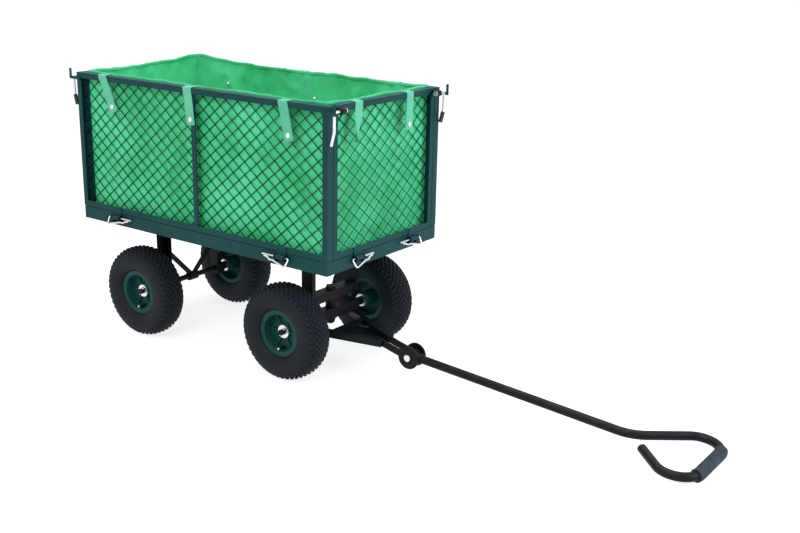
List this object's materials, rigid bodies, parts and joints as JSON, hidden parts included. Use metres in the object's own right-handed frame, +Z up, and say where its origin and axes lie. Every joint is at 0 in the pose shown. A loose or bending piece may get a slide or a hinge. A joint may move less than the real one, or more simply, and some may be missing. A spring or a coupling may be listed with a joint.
{
  "type": "garden cart",
  "caption": "Four-wheeled garden cart: mesh box with fold-down panels and a fabric liner on a tray, steered front axle and a long pull handle with a loop grip.",
  "frame": {"origin": "on the ground, midway along the cart's whole length with the handle lying on the ground, and midway across its width", "axes": "+X forward from the box to the handle's grip, +Y to the left of someone facing forward, +Z up"},
  "size_m": [1.8536, 0.5136, 0.7505],
  "materials": {
    "frame_paint": "satin",
    "mesh_paint": "satin",
    "black_paint": "satin",
    "liner_fabric": "satin",
    "strap_webbing": "matte",
    "tyre_rubber": "matte",
    "rim_paint": "satin",
    "zinc": "satin",
    "sleeve_plastic": "matte",
    "grip_foam": "matte"
  },
  "bodies": {
    "chassis": {"tray_frame": "frame_paint", "deck_bearers": "black_paint", "deck_mesh": "mesh_paint", "liner": "liner_fabric", "hinge_brackets": "black_paint", "hinge_clips": "zinc", "rear_legs": "black_paint", "rear_brace": "black_paint", "rear_axle": "black_paint", "rear_wheel_fasteners": "zinc", "front_legs": "black_paint", "bolster": "black_paint", "kingpin": "black_paint", "swivel_collar": "black_paint"},
    "right_panel": {"right_panel_frame": "frame_paint", "right_panel_hooks": "frame_paint", "right_panel_mesh": "mesh_paint", "right_panel_post": "frame_paint", "right_straps": "strap_webbing"},
    "left_panel": {"left_panel_frame": "frame_paint", "left_panel_hooks": "frame_paint", "left_panel_mesh": "mesh_paint", "left_panel_post": "frame_paint", "left_straps": "strap_webbing"},
    "front_panel": {"front_panel_frame": "frame_paint", "front_panel_mesh": "mesh_paint", "front_straps": "strap_webbing", "front_latch_bosses": "black_paint"},
    "rear_panel": {"rear_panel_frame": "frame_paint", "rear_panel_mesh": "mesh_paint", "rear_straps": "strap_webbing", "rear_latch_bosses": "black_paint"},
    "front_right_latch": {"latch_lever_front_right": "zinc"},
    "front_left_latch": {"latch_lever_front_left": "zinc", "latch_sleeve_front_left": "sleeve_plastic"},
    "rear_right_latch": {"latch_lever_rear_right": "zinc", "latch_sleeve_rear_right": "sleeve_plastic"},
    "rear_left_latch": {"latch_lever_rear_left": "zinc", "latch_sleeve_rear_left": "sleeve_plastic"},
    "steering": {"front_axle_beam": "black_paint", "front_axle_stubs": "black_paint", "front_wheel_fasteners": "zinc", "drawbar": "black_paint", "drawbar_plate": "black_paint", "pivot_bolt": "zinc"},
    "handle": {"handle_hub": "black_paint", "handle_tube": "black_paint", "handle_grip": "grip_foam"},
    "front_right_wheel": {"tyre_front_right": "tyre_rubber", "rim_front_right": "rim_paint", "bearings_front_right": "zinc"},
    "front_left_wheel": {"tyre_front_left": "tyre_rubber", "rim_front_left": "rim_paint", "bearings_front_left": "zinc"},
    "rear_right_wheel": {"tyre_rear_right": "tyre_rubber", "rim_rear_right": "rim_paint", "bearings_rear_right": "zinc"},
    "rear_left_wheel": {"tyre_rear_left": "tyre_rubber", "rim_rear_left": "rim_paint", "bearings_rear_left": "zinc"}
  },
  "joints": [
    {"name": "right_panel_hinge", "type": "hinge", "parent": "chassis", "child": "right_panel", "pos_m": [-0.45081, -0.243, 0.35], "axis": [-1, 0, 0], "range_deg": [-150, 0]},
    {"name": "left_panel_hinge", "type": "hinge", "parent": "chassis", "child": "left_panel", "pos_m": [-0.45081, 0.243, 0.35], "axis": [1, 0, 0], "range_deg": [-150, 0]},
    {"name": "front_panel_hinge", "type": "hinge", "parent": "chassis", "child": "front_panel", "pos_m": [0.00719, 0, 0.35], "axis": [0, -1, 0], "range_deg": [-120, 0]},
    {"name": "rear_panel_hinge", "type": "hinge", "parent": "chassis", "child": "rear_panel", "pos_m": [-0.90881, 0, 0.35], "axis": [0, 1, 0], "range_deg": [-150, 0]},
    {"name": "front_right_latch_turn", "type": "hinge", "parent": "front_panel", "child": "front_right_latch", "pos_m": [0.01619, -0.2, 0.7295], "axis": [0, -1, 0], "range_deg": [0, 100]},
    {"name": "front_left_latch_turn", "type": "hinge", "parent": "front_panel", "child": "front_left_latch", "pos_m": [0.01619, 0.2, 0.7295], "axis": [0, -1, 0], "range_deg": [0, 100]},
    {"name": "rear_right_latch_turn", "type": "hinge", "parent": "rear_panel", "child": "rear_right_latch", "pos_m": [-0.91781, -0.2, 0.7295], "axis": [0, 1, 0], "range_deg": [0, 100]},
    {"name": "rear_left_latch_turn", "type": "hinge", "parent": "rear_panel", "child": "rear_left_latch", "pos_m": [-0.91781, 0.2, 0.7295], "axis": [0, 1, 0], "range_deg": [0, 100]},
    {"name": "steer", "type": "hinge", "parent": "chassis", "child": "steering", "pos_m": [-0.18081, 0, 0.13], "axis": [0, 0, 1], "range_deg": [-30, 30]},
    {"name": "handle_pivot", "type": "hinge", "parent": "steering", "child": "handle", "pos_m": [0.09519, 0, 0.071], "axis": [0, -1, 0], "range_deg": [0, 94]},
    {"name": "front_right_wheel_spin", "type": "hinge", "parent": "steering", "child": "front_right_wheel", "pos_m": [-0.18081, -0.1845, 0.13], "axis": [0, 1, 0], "continuous": true},
    {"name": "front_left_wheel_spin", "type": "hinge", "parent": "steering", "child": "front_left_wheel", "pos_m": [-0.18081, 0.1845, 0.13], "axis": [0, 1, 0], "continuous": true},
    {"name": "rear_right_wheel_spin", "type": "hinge", "parent": "chassis", "child": "rear_right_wheel", "pos_m": [-0.71581, -0.1845, 0.13], "axis": [0, 1, 0], "continuous": true},
    {"name": "rear_left_wheel_spin", "type": "hinge", "parent": "chassis", "child": "rear_left_wheel", "pos_m": [-0.71581, 0.1845, 0.13], "axis": [0, 1, 0], "continuous": true}
  ]
}
